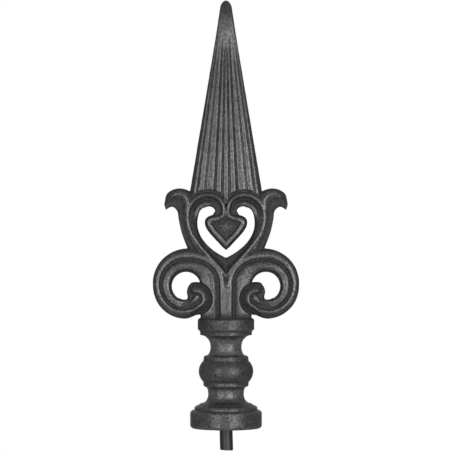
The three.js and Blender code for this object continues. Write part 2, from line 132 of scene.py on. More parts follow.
# Spade inside the heart: the line along the middle of its rim, its rails as offset and depth, its seams
SPADE = Size(tip_z=111.8, corner_x=10.4, corner_z=125.1, cleft_z=132, apex_z=123.2)
SPADE_SIDE_BEND = Size(lower=(4.6, 117.1), upper=(10.0, 121.6))
SPADE_TOP_BEND = Size(outer=(10.9, 128.5), inner=(2.4, 126.4))
SPADE_MITRE = 1.3
SPADE_RAILS = [
    (2.6, 1.0), (2.4, 2.4), (1.8, 4.6), (1.0, 5.9), (-0.1, 6.4), (-1.2, 6.1), (-1.8, 4.9), (-2.2, 4.2),
]
SPADE_APEX_DEPTH = 5.3
SPADE_SEAM = Size(half_width=0.5, depth=0.45, round=0.97)
SPADE_SEAM_ENDS = [(0, 114.8), (7.6, 123.8), (0, 130), (-7.6, 123.8)]
SPADE_STEPS = 30

# Leaves at the shoulders: rails run from the leaf's foot to its tip as x, z
LEAF_UNDER = [
    (18.5, 104), (22.4, 107.5), (27, 119), (28.9, 127.5), (29.4, 131.4),
    (30.6, 133.5), (32.6, 134.8), (34.6, 134.4), (36.5, 133.0),
]
LEAF_CREST = [
    (7.5, 102.5), (15.3, 109), (20.7, 119), (23, 127.5), (22.5, 136),
    (24.3, 140.6), (28.2, 142.8), (32.8, 141.2), (37.2, 134.6),
]
LEAF_TOP = [
    (6.5, 103.5), (12, 109), (17, 120), (19.3, 131), (19.4, 140.5),
    (22.6, 144.7), (29.4, 146.1), (35.8, 143.1), (37.7, 136.4),
]
LEAF = Size(edge_depth=1, wall=0.07, wall_depth=3.7, face_share=0.5, face_depth=5.4, steps=90)
LEAF_TIP = Size(start=0.76, wall_depth=2.0, face_drop=0.8)
LEAF_FOOT = Size(share=0.75, rise_by=0.26)
LEAF_SCOOP = Size(depth=4.3, start=0.47, end=0.7)
LEAF_CREST_DEPTH = Size(foot=7.0, bend=6.9, tip=3.7, fall_from=0.78)
LEAF_CREST_SIDE = Size(under=0.84, over=0.3, drop=0.9)

# Spear blade: the grooves between its reeds as shares of its half width, and how deep they are
BLADE = Size(foot=137, top=260.8, tip_half_width=2.5, taper=0.167, nose=4.5, swell=0.45, swell_length=35)
BLADE_DEPTH = Size(tip=2.7, rise=0.028, edge=0.8)
BLADE_NOSE = Size(start=243, square=8, round=2.0, thin_from=244, thin=0.0066)
BLADE_RAILS = 90
BLADE_ROWS = Size(foot=50, foot_length=15, length=90, nose=24, nose_turn=89.5)
REED_GROOVES = [(0.1, 1.0), (0.31, 1.3), (0.585, 0.6), (0.805, 0.9)]
REED_GROOVE = Size(half_width=0.028, least=0.4, fade_from=214, fade_to=250)
REED_CROWN = Size(height=0.25, edges=(-0.1, 0.1, 0.31, 0.585, 0.805, 0.97))
LOBE_CHANNEL = Size(depth=4.8, inner=2.6, outer=3.6, under=2.5, clear_from=1.2, clear_to=2.6)

# Fusing and finishing the casting
VOXEL = 0.27
LEAST_GAP = VOXEL / 100
SECTION_STEPS = 5
RELAX = Size(shrink=0.5, grow=-0.52, rounds=7)
RELIEF_REACHES = [Size(name="crest", rounds=13, height=0.12), Size(name="hollow", rounds=95, height=0.6)]
SKIN_SWELLS = [(5.0, 0.06), (1.6, 0.03)]
TRIANGLE_LIMIT = 185000

# Where the casting's colour is painted lighter as highlight and darker as shade, by height or about the
# heart's lobes
# Recesses are measured under the highest metal nearby. Raised scrollwork away from them is painted lighter
# as highlight.
RECESS_SHADING = Size(cell=0.5, reach=5.0, blur_rounds=4, from_z=67.6, full=4.0, share=0.96)
BLADE_SHADING = Size(clear=3.1, between_leaves=19.5, over_leaves=146.5)
# The necks are painted lighter as highlight by the waist's share
WAIST = Size(slim=10.9, wide=13, share=0.94)
# Painted shade in bands: over the collar and ball, at the collar's top under the stem, across the middle
# of the blade, and on the nose
SHADE_ZONES = [
    Size(bottom=26, top=66, soft=1.5, share=0.3),
    Size(bottom=66.5, top=69.2, soft=1.6, share=0.9),
    Size(bottom=183, top=231, soft=17, share=0.4),
    Size(bottom=252.5, top=270, soft=9.5, share=0.75),
]
# Painted shade over the tops of the heart's lobes
SHADED_LOBE_TOPS = Size(inside=13.4, outside=14.4, bottom=135.5, full=139.5, share=0.45)

# Cast iron, colours as linear values and spans in metres
IRON_DARK = (0.17, 0.17, 0.174, 1)
IRON_BODY = (0.2, 0.2, 0.204, 1)
IRON_LIGHT = (0.24, 0.24, 0.244, 1)
# The rubbed colour is worn metal on the crests and painted highlight on raised faces and necks. The hollow
# colour is painted shade in recesses, set bands and hollows, and also the tone of random darker patches.
IRON_WEAR_AND_HIGHLIGHT = (0.38, 0.38, 0.38, 1)
IRON_SHADE_AND_PATCH = (0.122, 0.122, 0.125, 1)
IRON_METALLIC = 0.72
IRON_GRAIN = Size(span=0.0014, height=0.00032, strength=1.0, low=0.36, high=0.64, pit=0.76, peak=1.25)
IRON_MOTTLE = Size(span=0.006, body_from=0.35, body_to=0.65, light_from=0.5, light_to=0.7)
IRON_PATCH = Size(span=0.03, low=0.4, high=0.65, strength=0.3)
IRON_WEAR = Size(start=0.15, full=0.7, spread=0.4, strength=0.55)
# Painted highlight on raised faces and necks, painted shade in hollows (which also lowers the metallic
# share), and painted shade in recesses
IRON_PAINTED_HIGHLIGHT = Size(start=0.75, strength=0.68)
IRON_HOLLOW_SHADE = Size(start=0.15, full=0.8, strength=0.8, cover=0.3)
IRON_RECESS = Size(start=0.31, full=0.46, strength=0.85)
IRON_ROUGH = Size(low=0.35, high=0.65, smooth=0.27, coarse=0.34, hollow=0.35, worn=0.03, waist=0.07)

# Drawn steel rod
STEEL_DARK = (0.12, 0.12, 0.122, 1)
STEEL_LIGHT = (0.155, 0.155, 0.158, 1)
STEEL_METALLIC = 1.0
STEEL_DRAW = (1, 1, 0.06)
STEEL_MARK = Size(span=0.0009, height=0.00002, strength=0.2, low=0.35, high=0.65)
STEEL_ROUGH = Size(low=0.3, high=0.7, smooth=0.44, coarse=0.5)

# Noise of the finishes, and the sockets of a node that mixes colours
NOISE_MIDDLE = 0.5
FINE_DETAIL = 3
BROAD_DETAIL = 1
MIX_SOCKETS = Size(share=0, first=6, second=7, result=2)

# Studio, in metres: softboxes by name, size, azimuth in degrees and radiance
WHITE = (1, 1, 1, 1)
STUDIO_CENTRE = Vector((0, 0, 0.12))
SIDE_BOX = Size(distance=1.6, width=0.45, height=1.1)
FRONT_BOX = Size(distance=2.6, width=1.0, height=1.2)
SOFTBOXES = [
    ("right_box", SIDE_BOX, 29, 3.3),
    ("left_box", SIDE_BOX, -30, 2.2),
    ("front_box", FRONT_BOX, 0, 0.14),
    ("back_right_box", SIDE_BOX, 166, 0.25),
    ("back_left_box", SIDE_BOX, -166, 0.25),
]
AMBIENT = Size(level=0.165, poles=0.12)
FLOOR = Size(z=-0.0142, half_width=6.0)
VIEW = Size(distance=1.5, width=0.2757, height=0.1232, tilt=math.radians(90))


# Curves

def blend(first, second, share):
    return first + (second - first) * share


def ease(value, start, end):
    share = np.clip((value - start) / (end - start), 0, 1)
    return share * share * (3 - 2 * share)


def bezier(start, lower, upper, end, share):
    share = np.asarray(share)[:, None]
    rest = 1 - share
    points = [np.array(p, float) for p in (start, lower, upper, end)]
    weights = [rest**3, 3 * rest**2 * share, 3 * rest * share**2, share**3]
    return sum(w * p for w, p in zip(weights, points))


def through(points, share):
    """A smooth line through evenly spaced points, at shares of its whole run."""
    points = np.asarray(points, float)
    padded = np.vstack([2 * points[0] - points[1], points, 2 * points[-1] - points[-2]])
    place = np.asarray(share) * (len(points) - 1)
    span = np.minimum(place.astype(int), len(points) - 2)
    t = (place - span)[:, None]
    before, here, there, after = (padded[span + i] for i in range(4))
    bend = 2 * before - 5 * here + 4 * there - after
    twist = 3 * (here - there) + after - before
    return here + 0.5 * t * (there - before + t * (bend + t * twist))


def outward_of(line):
    """Unit normals on the right-hand side of a line."""
    along = np.gradient(line, axis=0)
    along /= np.linalg.norm(along, axis=1, keepdims=True)
    return np.column_stack([along[:, 1], -along[:, 0]])


def around(centre, radius, degrees):
    """Points at these radii and angles about a centre."""
    angle = np.radians(degrees)
    return np.stack([centre.x + radius * np.cos(angle), centre.z + radius * np.sin(angle)], axis=-1)


def rounded(stations, steps=SECTION_STEPS):
    """Fills each section in between its rails with a curve that never overshoots them."""
    depth = stations[..., 2]
    gap = np.linalg.norm(np.diff(stations[..., :2], axis=1), axis=-1) + LEAST_GAP
    slope = np.diff(depth, axis=1) / gap
    before, after = slope[:, :-1], slope[:, 1:]
    near, far = gap[:, :-1] + 2 * gap[:, 1:], 2 * gap[:, :-1] + gap[:, 1:]
    rising = before * after > 0
    mean = (near + far) / (near / np.where(rising, before, 1) + far / np.where(rising, after, 1))
    tangent = np.concatenate([slope[:, :1], np.where(rising, mean, 0), slope[:, -1:]], axis=1)
    filled = []
    for t in np.arange(steps) / steps:
        between = blend(stations[:, :-1], stations[:, 1:], t)
        between[..., 2] = (
            (2 * t**3 - 3 * t**2 + 1) * depth[:, :-1]
            + (t**3 - 2 * t**2 + t) * gap * tangent[:, :-1]
            + (3 * t**2 - 2 * t**3) * depth[:, 1:]
            + (t**3 - t**2) * gap * tangent[:, 1:]
        )
        filled.append(between)
    filled = np.stack(filled, axis=2).reshape(len(stations), -1, 3)
    return np.concatenate([filled, stations[:, -1:]], axis=1)


# Closed shapes, gathered to be fused into one casting

class Blank:
    def __init__(self):
        self.points = []
        self.faces = []
        self.count = 0

    def add(self, points, faces):
        self.points.append(points)
        self.faces.append(faces + self.count)
        self.count += len(points)


def quads(a, b, c, d):
    """Two triangles for each four-sided face, whose corners come as lists of point numbers."""
    corners = [np.ravel(x) for x in (a, b, c, d)]
    first = np.column_stack(corners[:3])
    second = np.column_stack([corners[0], corners[2], corners[3]])
    return np.vstack([first, second])


def front_and_back(stations):
    """The stations' points on the front face and on the back."""
    back = stations[..., [0, 2, 1]]
    return back * [1, -1, 1], back


def moulding(blank, stations):
    """A closed bar: each station lists its rails as x, z and half depth."""
    count, rails, _ = stations.shape
    front, back = front_and_back(stations)
    points = np.concatenate([front, back[:, ::-1]], axis=1).reshape(-1, 3)
    index = np.arange(count * 2 * rails).reshape(count, 2 * rails)
    ring = np.concatenate([index, index[:, :1]], axis=1)
    faces = [quads(ring[:-1, :-1], ring[:-1, 1:], ring[1:, 1:], ring[1:, :-1])]
    for end in (index[0], index[-1]):
        near, far = end[:rails], end[rails:][::-1]
        faces.append(quads(near[:-1], far[:-1], far[1:], near[1:]))
    blank.add(points, np.vstack(faces))


def boss(blank, stations, pole):
    """A closed boss: its stations go round a centre, and their rails run in to one point."""
    count, rails, _ = stations.shape
    x, z, depth = pole
    points = np.concatenate([*front_and_back(stations)]).reshape(-1, 3)
    index = np.arange(len(points)).reshape(2, count, rails)
    ring = np.concatenate([index, index[:, :1]], axis=1)
    faces = [quads(ring[0, :-1, 0], ring[1, :-1, 0], ring[1, 1:, 0], ring[0, 1:, 0])]
    for side, tip in zip(ring, (len(points), len(points) + 1)):
        faces.append(quads(side[:-1, :-1], side[1:, :-1], side[1:, 1:], side[:-1, 1:]))
        faces.append(np.column_stack([side[:-1, -1], side[1:, -1], np.full(count, tip)]))
    points = np.vstack([points, (x, -depth, z), (x, depth, z)])
    blank.add(points, np.vstack(faces))


def turning(blank, profile, lean=0.0):
    """A closed turned shape: the profile starts and ends on the axis, which may lean."""
    profile = np.asarray(profile, float)
    angles = np.linspace(0, 2 * math.pi, TURNING_SEGMENTS, endpoint=False)
    radius, height = profile[:, 0], profile[:, 1]
    x = np.cos(angles)[:, None] * radius - height * np.tan(lean)
    y = np.sin(angles)[:, None] * radius
    points = np.stack([x, y, np.broadcast_to(height, x.shape)], axis=-1).reshape(-1, 3)
    index = np.arange(len(points)).reshape(TURNING_SEGMENTS, len(profile))
    ring = np.concatenate([index, index[:1]])
    blank.add(points, quads(ring[:-1, :-1], ring[1:, :-1], ring[1:, 1:], ring[:-1, 1:]))


def both_sides(blank, stations):
    """A bar on the right, and its mirror image on the left."""
    moulding(blank, stations)
    moulding(blank, stations * [-1, 1, 1])


# Baluster

def baluster_profile():
    points = [(0, SOCKET.top), (SOCKET.radius, SOCKET.top), (SOCKET.radius, 0)]

    def curve(r, z, wide, high, start, end):
        angles = np.radians(np.linspace(start, end, ARC_STEPS))
        points.extend(zip(r + wide * np.cos(angles), z + high * np.sin(angles)))

    def round_under(r, z, radius):
        curve(r - radius, z + radius, radius, radius, -90, 0)

    def round_over(r, z, radius):
        curve(r - radius, z - radius, radius, radius, 0, 90)

    def neck(waist, lower, lower_z, upper, upper_z):
        curve(lower, waist.height, lower - waist.radius, waist.height - lower_z, 270, 180)
        curve(upper, waist.height, upper - waist.radius, upper_z - waist.height, 180, 90)

    round_under(BASE.radius, 0, BASE.round)
    round_over(BASE.radius, BASE.top, BASE.round)
    points.append((STEP.radius, BASE.top))
    round_over(STEP.radius, STEP.top, STEP.round)
    fillet_foot = LOWER_FILLET.radius - LOWER_FILLET.round
    neck(LOWER_NECK, STEP.slope_radius, STEP.slope_top, fillet_foot, LOWER_FILLET.bottom)
    round_under(LOWER_FILLET.radius, LOWER_FILLET.bottom, LOWER_FILLET.round)
    reach = math.degrees(math.acos((LOWER_FILLET.radius - BALL.offset) / BALL.arc))
    curve(BALL.offset, BALL.height, BALL.arc, BALL.arc, -reach, reach)
    round_over(UPPER_FILLET.radius, UPPER_FILLET.top, UPPER_FILLET.round)
    fillet_head = UPPER_FILLET.radius - UPPER_FILLET.round
    neck(UPPER_NECK, fillet_head, UPPER_FILLET.top, COLLAR.lip, COLLAR.lip_bottom)
    points.append((COLLAR.lip, COLLAR.lip_top))
    points.append((COLLAR.radius, COLLAR.bottom))
    round_over(COLLAR.radius, COLLAR.top, COLLAR.round)
    points.append((0, COLLAR.top))
    return points


# Scrollwork

def stem(blank):
    half = STEM.half_width
    stations = []
    for z in [STEM.bottom, *np.linspace(STEM.bend, STEM.top, STEM.steps)]:
        depth = STEM.depth - STEM.fall * max(0, z - STEM.bend) ** 2
        stations.append([
            (-half, z, depth - STEM.round),
            (-half + STEM.round, z, depth),
            (half - STEM.round, z, depth),
            (half, z, depth - STEM.round),
        ])
    moulding(blank, np.array(stations))


def volute_section(degrees):
    """Rails of the volute's band from its outline to its hole, as radius and half depth."""
    def spiralled_in(start, shrink):
        return shrink * max(0, (degrees - start) / (VOLUTE_TAIL.end - start)) ** 2

    widening = ease(degrees, VOLUTE_WIDENING.start, VOLUTE_WIDENING.end)
    outline = VOLUTE_EDGE.radius + VOLUTE_EDGE.widening * max(0, degrees) / VOLUTE.start
    outline += VOLUTE_EDGE.lower * ease(-degrees, 0, -VOLUTE_EDGE.lower_by)
    outline -= spiralled_in(VOLUTE_EDGE.tail_start, VOLUTE_EDGE.tail_shrink)
    climb = ease(degrees, VOLUTE_RIM.climb_from, VOLUTE_RIM.climb_to)
    rim = blend(VOLUTE_RIM.below, VOLUTE_RIM.above, climb) + VOLUTE_RIM.widening * widening
    half = blend(VOLUTE_RIM.slim, VOLUTE_RIM.broad, climb)
    shoulder = VOLUTE_RIM.depth - VOLUTE_RIM.shoulder
    fade = ease(-degrees, -VOLUTE_FADE.start, -VOLUTE_FADE.end)
    ceiling = blend(VOLUTE_RIM.depth, VOLUTE_FADE.depth, fade)
    rails = [
        (rim + half * VOLUTE_RIM.outer, shoulder),
        (rim, VOLUTE_RIM.depth),
        (rim - half, shoulder),
        (rim - half - VOLUTE_GROOVE.gap, min(VOLUTE_GROOVE.depth, ceiling)),
    ]
    for rail in VOLUTE_FACE_RAILS:
        depth = min(rail.depth + rail.deeper * widening, ceiling)
        rails.append((rail.radius + rail.wider * widening, depth))
    tighter = VOLUTE_HOLE.tighter + VOLUTE_HOLE.drop * math.sin(math.radians(degrees))
    rails += [(rail.radius - tighter * rail.tighter, rail.depth) for rail in VOLUTE_WALL_RAILS]
    inner = np.array(rails) - [spiralled_in(VOLUTE_TAIL.start, VOLUTE_TAIL.shrink), 0]
    return np.vstack([[(outline + inset, depth) for inset, depth in VOLUTE_EDGE_RAILS], inner])


def volutes(blank):
    foot = volute_section(VOLUTE.start)
    stations = [
        np.column_stack([VOLUTE.x - foot[:, 0], np.full(len(foot), z), foot[:, 1]])
        for z in np.linspace(STEM.bottom, VOLUTE.z, VOLUTE.foot_steps)[:-1]
    ]
    for degrees in range(VOLUTE.start, VOLUTE.end - 1, -VOLUTE.step):
        section = volute_section(degrees)
        stations.append(np.column_stack([around(VOLUTE, section[:, 0], degrees), section[:, 1]]))
    stations = rounded(np.array(stations), VOLUTE.section_steps)
    upper = stations[:len(stations) // 2]
    to_eye = np.hypot(upper[..., 0] - EYE.x, upper[..., 1] - EYE.z)
    sunk = np.minimum(upper[..., 2], EYE_CUT.depth)
    upper[..., 2] = blend(sunk, upper[..., 2], ease(to_eye, EYE_CUT.inner, EYE_CUT.outer))
    both_sides(blank, stations)


def eye_section(turn):
    lead = max(0, 1 - turn / EYE_EDGE.lead_turn)
    close = np.clip((turn - EYE_CLOSE.start) / (EYE_CLOSE.end - EYE_CLOSE.start), 0, 1)
    edge = blend(EYE_EDGE.radius + EYE_EDGE.lead * lead, EYE_CLOSE.radius, close)
    crest_lead = EYE_CREST.lead * max(0, 1 - turn / EYE_CREST.lead_turn) ** 2
    crest = min(EYE_CREST.radius + crest_lead, edge - EYE_CREST.inset)
    fade = ease(turn, EYE_CREST_DEPTH.fade_from, EYE_CREST_DEPTH.fade_to)
    rise = blend(EYE_CREST_DEPTH.start, EYE_CREST_DEPTH.along, ease(turn, 0, EYE_CREST_DEPTH.rise_by))
    depth = blend(rise, EYE_CREST_DEPTH.end, fade)
    wall = edge - EYE_EDGE.wall
    outer = crest + EYE_CREST.half
    return np.array([
        (edge, EYE_EDGE_DEPTH.parting),
        (wall, EYE_EDGE_DEPTH.wall),
        ((wall + outer) / 2, (EYE_EDGE_DEPTH.wall + depth - EYE_CREST.shoulder) / 2),
        (outer, depth - EYE_CREST.shoulder),
        (crest, depth),
        (crest - EYE_CREST.half, depth - EYE_CREST.shoulder),
        (crest * EYE_DISH.share, min(depth, EYE_DISH.depth)),
    ])


def eyes(blank):
    stations = []
    for turn in range(0, 360, EYE.step):
        section = eye_section(turn)
        stations.append(np.column_stack([around(EYE, section[:, 0], EYE.start - turn), section[:, 1]]))
    stations = rounded(np.array(stations))
    for side in (1, -1):
        boss(blank, stations * [side, 1, 1], (side * EYE.x, EYE.z, EYE_DISH.depth))


def rolls(blank):
    stations = []
    for degrees in range(ROLL.start, ROLL.end - 1, -ROLL.step):
        share = (degrees - ROLL.start) / (ROLL.end - ROLL.start)
        over = max(0, share - ROLL.round_from) / (1 - ROLL.round_from)
        slim = blend(ROLL_END.share, 1, math.sqrt(1 - over**2))
        middle = ROLL.radius - ROLL.tuck * ease(share, ROLL.tuck_from, 1)
        offsets, depths = np.transpose(ROLL_RAILS)
        places = around(VOLUTE, middle + offsets * slim, degrees)
        sag = ROLL_SAG.share * math.sin(math.pi * min(1, share / ROLL_SAG.end))
        lower = ROLL_END.lower * over**2 + sag
        stations.append(np.column_stack([places, depths * (1 - lower)]))
    both_sides(blank, rounded(np.array(stations)))


def heart_side(run):
    """Crest and edge of the hole along the heart's side, from its point up to its lobe."""
    crest_end = (HEART.x + HEART.radius, HEART.z)
    hole_end = (HEART_LOBE_HOLE.x + HEART_LOBE_HOLE.side, HEART_LOBE_HOLE.z)
    hole_point = (0, HEART_LOBE_HOLE.point_z)
    crest = bezier((0, HEART.point_z), HEART_SIDE_BEND.lower, HEART_SIDE_BEND.upper, crest_end, run)
    hole = bezier(hole_point, HEART_HOLE_BEND.lower, HEART_HOLE_BEND.upper, hole_end, run)
    return crest, hole


def heart_lobe(degrees):
    """Crest and edge of the hole round the heart's lobe, to the end of its curl."""
    curl = np.maximum(0, (degrees - HEART_CURL.start) / HEART_CURL.over)
    radius = HEART.radius - HEART_CURL.shrink * curl**HEART_CURL.power
    narrowing = np.minimum(1, degrees / HEART_HOLE.narrow_by)
    hole = blend(HEART_LOBE_HOLE.side, HEART_HOLE.lobe, narrowing)
    hole = blend(hole, HEART_HOLE.curl, ease(degrees, HEART_HOLE.curl_from, HEART_CURL.end))
    return around(HEART, radius, degrees), around(HEART_LOBE_HOLE, hole, degrees)


def heart_lines():
    """Along the heart: its crest, the edge of its hole, the way out, and the sizes of its section."""
    run = np.arange(HEART_SIDE_STEPS) / HEART_SIDE_STEPS
    degrees = np.arange(0, HEART_CURL.end + 1, HEART_LOBE_STEP)
    side_crest, side_hole = heart_side(run)
    lobe_crest, lobe_hole = heart_lobe(degrees)
    lobe_out = np.column_stack([np.cos(np.radians(degrees)), np.sin(np.radians(degrees))])
    progress = np.concatenate([run, 1 + degrees / HEART_CURL.end])
    turn = np.concatenate([np.zeros_like(run), degrees])
    on_lobe = ease(turn, 0, HEART_HOLE.narrow_by)
    rise = ease(progress, 0, HEART_CREST.rise_by)
    crest_depth = blend(HEART_CREST.point_depth, HEART_CREST.depth, rise)
    lowering = ease(turn, HEART_CREST.lower_from, HEART_CURL.end)
    lip_rise = ease(progress, HEART_LIP_RUN.rise_from, HEART_LIP_RUN.rise_to)
    lip_fall = ease(progress, HEART_LIP_RUN.fall_from, HEART_LIP_RUN.fall_to)
    lip_depth = blend(HEART_LIP.side_depth, HEART_LIP.lobe_depth, lip_rise)
    return Size(
        crest=np.vstack([side_crest, lobe_crest]),
        hole=np.vstack([side_hole, lobe_hole]),
        out=np.vstack([outward_of(side_crest), lobe_out]),
        web=blend(HEART_WEB.side, HEART_WEB.lobe, on_lobe),
        web_depth=blend(HEART_WEB.depth, HEART_WEB.lobe_depth, on_lobe),
        depth=blend(crest_depth, HEART_CREST.curl_depth, lowering),
        lip=blend(lip_depth, HEART_LIP.curl_depth, lip_fall),
    )


def hearts(blank):
    lines = heart_lines()
    level = np.ones_like(lines.depth)

    def outward(offset):
        return lines.crest + lines.out * np.reshape(offset * level, (-1, 1))

    def inward(share):
        return blend(lines.crest, lines.hole, share)

    groove = blend(lines.web_depth, HEART_GROOVE.depth, HEART_GROOVE.share)
    flank = blend(HEART_CHANNEL.depth, lines.lip, HEART_LIP.flank)
    rails = [
        (outward(lines.web), lines.web_depth),
        (outward(HEART_GROOVE.offset), groove),
        (outward(HEART_CREST.half), lines.depth - HEART_CREST.shoulder),
        (lines.crest, lines.depth),
        (outward(-HEART_CREST.half), lines.depth - HEART_CREST.shoulder),
        (inward(HEART_CHANNEL.share), HEART_CHANNEL.depth * level),
        (inward(HEART_LIP.share - HEART_LIP.half), flank),
        (inward(HEART_LIP.share), lines.lip),
        (inward(HEART_LIP.share + HEART_LIP.half), lines.lip - HEART_LIP.shoulder),
        (lines.hole, HEART_LIP.edge_depth * level),
    ]
    stations = np.stack([np.column_stack(rail) for rail in rails], axis=1)
    both_sides(blank, rounded(stations))


def seam(path, depths):
    """Stations of a fine rounded bead along a line."""
    across = np.linspace(-1, 1, 2 * SECTION_STEPS + 1)
    height = np.sqrt(1 - (across * SPADE_SEAM.round) ** 2)
    places = path[:, None] + outward_of(path)[:, None] * (SPADE_SEAM.half_width * across)[:, None]
    return np.concatenate([places, (depths[:, None] * height)[..., None]], axis=-1)


def spade(blank):
    run = np.arange(SPADE_STEPS) / SPADE_STEPS
    corner = (SPADE.corner_x, SPADE.corner_z)
    side = bezier((0, SPADE.tip_z), SPADE_SIDE_BEND.lower, SPADE_SIDE_BEND.upper, corner, run)
    top = bezier(corner, SPADE_TOP_BEND.outer, SPADE_TOP_BEND.inner, (0, SPADE.cleft_z), run)
    rim = np.vstack([side, top])
    out = np.vstack([outward_of(side), outward_of(top)])
    out[0] = (0, -SPADE_MITRE)
    rim = np.vstack([rim, (0, SPADE.cleft_z), rim[:0:-1] * [-1, 1]])
    out = np.vstack([out, (0, 1), out[:0:-1] * [-1, 1]])
    stations = np.stack([
        np.column_stack([rim + offset * out, np.full(len(rim), depth)]) for offset, depth in SPADE_RAILS
    ], axis=1)
    boss(blank, rounded(stations), (0, SPADE.apex_z, SPADE_APEX_DEPTH))
    panel_edge_depth = SPADE_RAILS[-1][1]
    apex = np.array([0, SPADE.apex_z])
    for end in SPADE_SEAM_ENDS:
        path = blend(np.array(end), apex, run[:, None])
        depths = blend(panel_edge_depth, SPADE_APEX_DEPTH, run) + SPADE_SEAM.depth
        moulding(blank, seam(path, depths))


def leaves(blank):
    run = np.linspace(0, 1, LEAF.steps)
    low, mid, high = (through(rail, run) for rail in (LEAF_UNDER, LEAF_CREST, LEAF_TOP))
    scoop = ease(run, LEAF_SCOOP.start, LEAF_SCOOP.end)
    rise = blend(LEAF_CREST_DEPTH.foot, LEAF_CREST_DEPTH.bend, scoop)
    crest = blend(rise, LEAF_CREST_DEPTH.tip, ease(run, LEAF_CREST_DEPTH.fall_from, 1))
    face = blend(LEAF.face_depth, LEAF_SCOOP.depth, scoop)
    level = np.ones_like(run)
    thinning = ease(run, LEAF_TIP.start, 1)
    wall = blend(LEAF.wall_depth, LEAF_TIP.wall_depth, thinning)
    rails = [
        (low, LEAF.edge_depth * level),
        (blend(low, mid, LEAF.wall), wall),
        (blend(low, mid, LEAF.face_share), np.minimum(face, crest - LEAF_TIP.face_drop * thinning)),
        (blend(low, mid, LEAF_CREST_SIDE.under), crest - LEAF_CREST_SIDE.drop * scoop),
        (mid, crest),
        (blend(mid, high, LEAF_CREST_SIDE.over), crest - LEAF_CREST_SIDE.drop),
        (blend(high, mid, LEAF.wall), wall),
        (high, LEAF.edge_depth * level),
    ]
    sink = blend(LEAF_FOOT.share, 1, ease(run, 0, LEAF_FOOT.rise_by))
    stations = np.stack([np.column_stack([place, depth * sink]) for place, depth in rails], axis=1)
    both_sides(blank, rounded(stations))


# Blade

def blade_depth(share, half_width, depth, edge, z):
    """Half depth across one row of the blade: a crowned face, its reeds and grooves."""
    shape = blend(BLADE_NOSE.square, BLADE_NOSE.round, ease(z, BLADE_NOSE.start, BLADE.top))
    surface = edge + (depth - edge) * np.sqrt(1 - np.abs(share) ** shape)
    fade = 1 - ease(z, REED_GROOVE.fade_from, REED_GROOVE.fade_to)
    place = np.abs(share)
    for start, end in zip(REED_CROWN.edges[:-1], REED_CROWN.edges[1:]):
        across = (2 * place - start - end) / (end - start)
        surface = surface - fade * REED_CROWN.height * np.where(np.abs(across) < 1, across**2, 0)
    groove_half = max(REED_GROOVE.half_width, REED_GROOVE.least / half_width)
    for groove, cut in REED_GROOVES:
        surface = surface - fade * cut * np.exp(-(((place - groove) / groove_half) ** 2))
    x = place * half_width
    reach = np.hypot(x - HEART.x, z - HEART.z) - HEART.radius
    over = ease(reach, LOBE_CHANNEL.inner, LOBE_CHANNEL.outer)
    floor = blend(LOBE_CHANNEL.under, LOBE_CHANNEL.depth, ease(reach, -LOBE_CHANNEL.inner, 0))
    sunk = np.minimum(surface, blend(floor, surface, over))
    kept = blend(surface, sunk, ease(x, LOBE_CHANNEL.clear_from, LOBE_CHANNEL.clear_to))
    return np.maximum(kept, edge)


def blade_rows():
    """Heights of the blade's rows, which lie closer at its foot and in its nose."""
    nose = BLADE.top - BLADE.nose
    foot_end = BLADE.foot + BLADE_ROWS.foot_length
    turn = np.radians(np.linspace(0, BLADE_ROWS.nose_turn, BLADE_ROWS.nose))
    return np.concatenate([
        np.linspace(BLADE.foot, foot_end, BLADE_ROWS.foot)[:-1],
        np.linspace(foot_end, nose, BLADE_ROWS.length)[:-1],
        nose + BLADE.nose * np.sin(turn),
    ])


def blade(blank):
    share = np.sin(np.linspace(-math.pi / 2, math.pi / 2, 2 * BLADE_RAILS + 1))
    stations = []
    for z in blade_rows():
        below = BLADE.top - z
        rounding = math.sqrt(1 - max(0, 1 - below / BLADE.nose) ** 2)
        swell = BLADE.swell * max(0, 1 - below / BLADE.swell_length) ** 2
        half_width = (BLADE.tip_half_width + BLADE.taper * below + swell) * rounding
        thinning = BLADE_NOSE.thin * max(0, z - BLADE_NOSE.thin_from) ** 2
        depth = (BLADE_DEPTH.tip + BLADE_DEPTH.rise * below - thinning) * rounding
        half_depth = blade_depth(share, half_width, depth, BLADE_DEPTH.edge * rounding, z)
        stations.append(np.column_stack([share * half_width, np.full(len(share), z), half_depth]))
    moulding(blank, np.array(stations))


# Casting

def fused(blank):
    """The gathered shapes under one skin."""
    raw = bpy.data.meshes.new("raw_casting")
    raw.from_pydata(np.vstack(blank.points), [], np.vstack(blank.faces))
    block = bpy.data.objects.new("raw_casting", raw)
    bpy.context.scene.collection.objects.link(block)
    skin = block.modifiers.new("skin", "REMESH")
    skin.mode = "VOXEL"
    skin.voxel_size = VOXEL
    block.data = modified(block)
    block.modifiers.clear()
    return block


def modified(piece):
    """The piece's mesh as its modifiers leave it."""
    graph = bpy.context.evaluated_depsgraph_get()
    return bpy.data.meshes.new_from_object(piece.evaluated_get(graph))


def drawn_in(points, edges, strengths):
    """Points moved by each strength in turn along the way to the mean of their neighbours."""
    first, second = edges.T
    count = len(points)
    links = np.bincount(first, minlength=count) + np.bincount(second, minlength=count)
    for strength in strengths:
        sums = np.empty_like(points)
        for axis in range(3):
            sums[:, axis] = np.bincount(first, points[second, axis], count)
            sums[:, axis] += np.bincount(second, points[first, axis], count)
        points = points + strength * (sums / links[:, None] - points)
    return points


def element_values(items, name, width, kind=float):
    """One row of values for each point or edge of a mesh."""
    values = np.empty(len(items) * width, kind)
    items.foreach_get(name, values)
    return values.reshape(-1, width)


